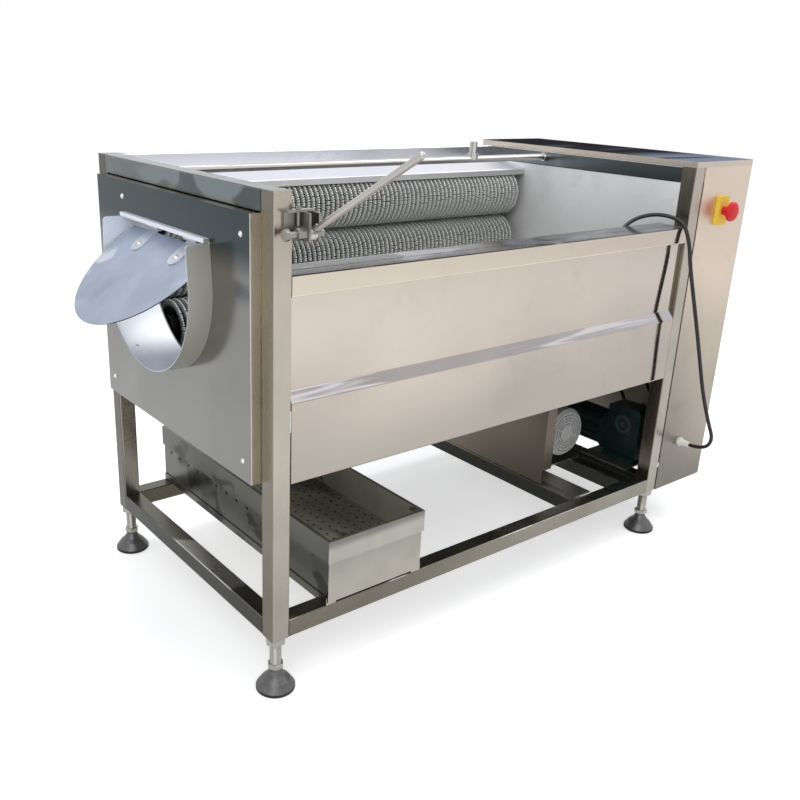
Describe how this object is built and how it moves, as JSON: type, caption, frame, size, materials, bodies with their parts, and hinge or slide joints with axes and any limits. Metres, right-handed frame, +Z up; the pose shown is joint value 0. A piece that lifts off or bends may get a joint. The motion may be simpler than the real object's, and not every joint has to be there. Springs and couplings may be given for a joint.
{
  "type": "brush roller potato peeler",
  "caption": "Electric potato peeler: a stainless trough of brush rollers with a discharge duct and flap, a drive cabinet with a stop button, and a pull-out water box, on levelling feet.",
  "frame": {"origin": "centre of the underside of the front left levelling foot, on the floor", "axes": "+X from the discharge duct to the drive cabinet along the rollers, +Y from the operator's side to the back, +Z up"},
  "size_m": [1.6923, 1.0684, 1.1027],
  "materials": {
    "frame_steel": "satin",
    "sheet_steel": "polished",
    "fitting_steel": "satin",
    "foot_grey": "satin",
    "signal_yellow": "satin",
    "signal_red": "gloss",
    "gland_white": "satin",
    "cord_black": "satin",
    "shaft_steel": "machined",
    "brush_grey": "bristle",
    "bearing_iron": "cast",
    "chain_steel": "oiled",
    "gearbox_green": "gloss",
    "motor_black": "satin",
    "cover_grey": "satin"
  },
  "bodies": {
    "machine": {"frame_posts": "frame_steel", "bottom_long_rails": "frame_steel", "bottom_cross_rails": "frame_steel", "top_rails": "frame_steel", "front_rim_rail": "frame_steel", "left_end_plate": "sheet_steel", "partition_plate": "sheet_steel", "front_panel": "sheet_steel", "trough_lip": "sheet_steel", "back_panel": "sheet_steel", "trough_shell": "sheet_steel", "guard_lip": "sheet_steel", "left_end_cover": "sheet_steel", "discharge_duct": "sheet_steel", "spray_pipe": "sheet_steel", "cabinet_front_cover": "sheet_steel", "cabinet_rear_wrap": "sheet_steel", "cabinet_lid": "sheet_steel", "zone_plate": "sheet_steel", "foot_stems": "fitting_steel", "left_cover_screws": "fitting_steel", "flap_hinge_brackets": "fitting_steel", "lever_bracket": "fitting_steel", "lever_fasteners": "fitting_steel", "box_runners": "fitting_steel", "drive_base_plates": "fitting_steel", "foot_pads": "foot_grey", "estop_box": "signal_yellow", "cord_gland": "gland_white", "power_cord": "cord_black", "power_plug": "cord_black", "roller_bearings": "bearing_iron", "drive_chains": "chain_steel", "gearbox": "gearbox_green", "gear_motor": "gearbox_green", "pump_motor": "motor_black", "pump_fan_cover": "cover_grey", "pump_volute": "motor_black"},
    "flap": {"flap": "sheet_steel", "flap_straps": "fitting_steel"},
    "lever": {"lever": "fitting_steel"},
    "estop_stem": {"estop_stem": "signal_red"},
    "estop_head": {"estop_head": "signal_red"},
    "drive_sprocket": {"drive_sprocket": "shaft_steel"},
    "water_box": {"water_box": "sheet_steel"},
    "perforated_tray": {"perforated_tray": "sheet_steel"},
    "roller_1": {"roller_1_core": "shaft_steel", "roller_1_brush": "brush_grey"},
    "roller_2": {"roller_2_core": "shaft_steel", "roller_2_brush": "brush_grey"},
    "roller_3": {"roller_3_core": "shaft_steel", "roller_3_brush": "brush_grey"},
    "roller_4": {"roller_4_core": "shaft_steel", "roller_4_brush": "brush_grey"},
    "roller_5": {"roller_5_core": "shaft_steel", "roller_5_brush": "brush_grey"},
    "roller_6": {"roller_6_core": "shaft_steel", "roller_6_brush": "brush_grey"},
    "roller_7": {"roller_7_core": "shaft_steel", "roller_7_brush": "brush_grey"}
  },
  "joints": [
    {"name": "roller_1_spin", "type": "hinge", "parent": "machine", "child": "roller_1", "pos_m": [0.6, 0.58912, 0.89022], "axis": [1, 0, 0], "continuous": true},
    {"name": "roller_2_spin", "type": "hinge", "parent": "machine", "child": "roller_2", "pos_m": [0.6, 0.60092, 0.75674], "axis": [1, 0, 0], "continuous": true},
    {"name": "roller_3_spin", "type": "hinge", "parent": "machine", "child": "roller_3", "pos_m": [0.6, 0.54289, 0.63595], "axis": [1, 0, 0], "continuous": true},
    {"name": "roller_4_spin", "type": "hinge", "parent": "machine", "child": "roller_4", "pos_m": [0.6, 0.43131, 0.56175], "axis": [1, 0, 0], "continuous": true},
    {"name": "roller_5_spin", "type": "hinge", "parent": "machine", "child": "roller_5", "pos_m": [0.6, 0.29748, 0.55494], "axis": [1, 0, 0], "continuous": true},
    {"name": "roller_6_spin", "type": "hinge", "parent": "machine", "child": "roller_6", "pos_m": [0.6, 0.17895, 0.61744], "axis": [1, 0, 0], "continuous": true},
    {"name": "roller_7_spin", "type": "hinge", "parent": "machine", "child": "roller_7", "pos_m": [0.6, 0.10896, 0.73171], "axis": [1, 0, 0], "continuous": true},
    {"name": "drive_sprocket_spin", "type": "hinge", "parent": "machine", "child": "drive_sprocket", "pos_m": [1.3, 0.1145, 0.278], "axis": [1, 0, 0], "continuous": true},
    {"name": "flap_hinge", "type": "hinge", "parent": "machine", "child": "flap", "pos_m": [-0.023, 0.352, 0.891], "axis": [0, 1, 0], "range_deg": [-52, 17]},
    {"name": "lever_pivot", "type": "hinge", "parent": "machine", "child": "lever", "pos_m": [0.042, -0.042, 0.944], "axis": [1, 0, 0], "range_deg": [-41, 45]},
    {"name": "estop_press", "type": "slide", "parent": "machine", "child": "estop_stem", "axis": [0, 1, 0], "range_m": [0, 0.004]},
    {"name": "estop_twist", "type": "hinge", "parent": "estop_stem", "child": "estop_head", "pos_m": [1.349, -0.05, 0.905], "axis": [0, 1, 0], "range_deg": [0, 30], "stiffness_Nm_per_rad": 0.05},
    {"name": "water_box_slide", "type": "slide", "parent": "machine", "child": "water_box", "axis": [0, -1, 0], "range_m": [0, 0.6]},
    {"name": "perforated_tray_lift", "type": "slide", "parent": "water_box", "child": "perforated_tray", "axis": [0, 0, 1], "range_m": [0, 0.12]}
  ],
  "couplings": [
    {"joint": "roller_2_spin", "follows": "roller_1_spin", "ratio": 1},
    {"joint": "roller_3_spin", "follows": "roller_1_spin", "ratio": 1},
    {"joint": "roller_4_spin", "follows": "roller_1_spin", "ratio": 1},
    {"joint": "roller_5_spin", "follows": "roller_1_spin", "ratio": 1},
    {"joint": "roller_6_spin", "follows": "roller_1_spin", "ratio": 1},
    {"joint": "roller_7_spin", "follows": "roller_1_spin", "ratio": 1},
    {"joint": "drive_sprocket_spin", "follows": "roller_1_spin", "ratio": 1}
  ]
}
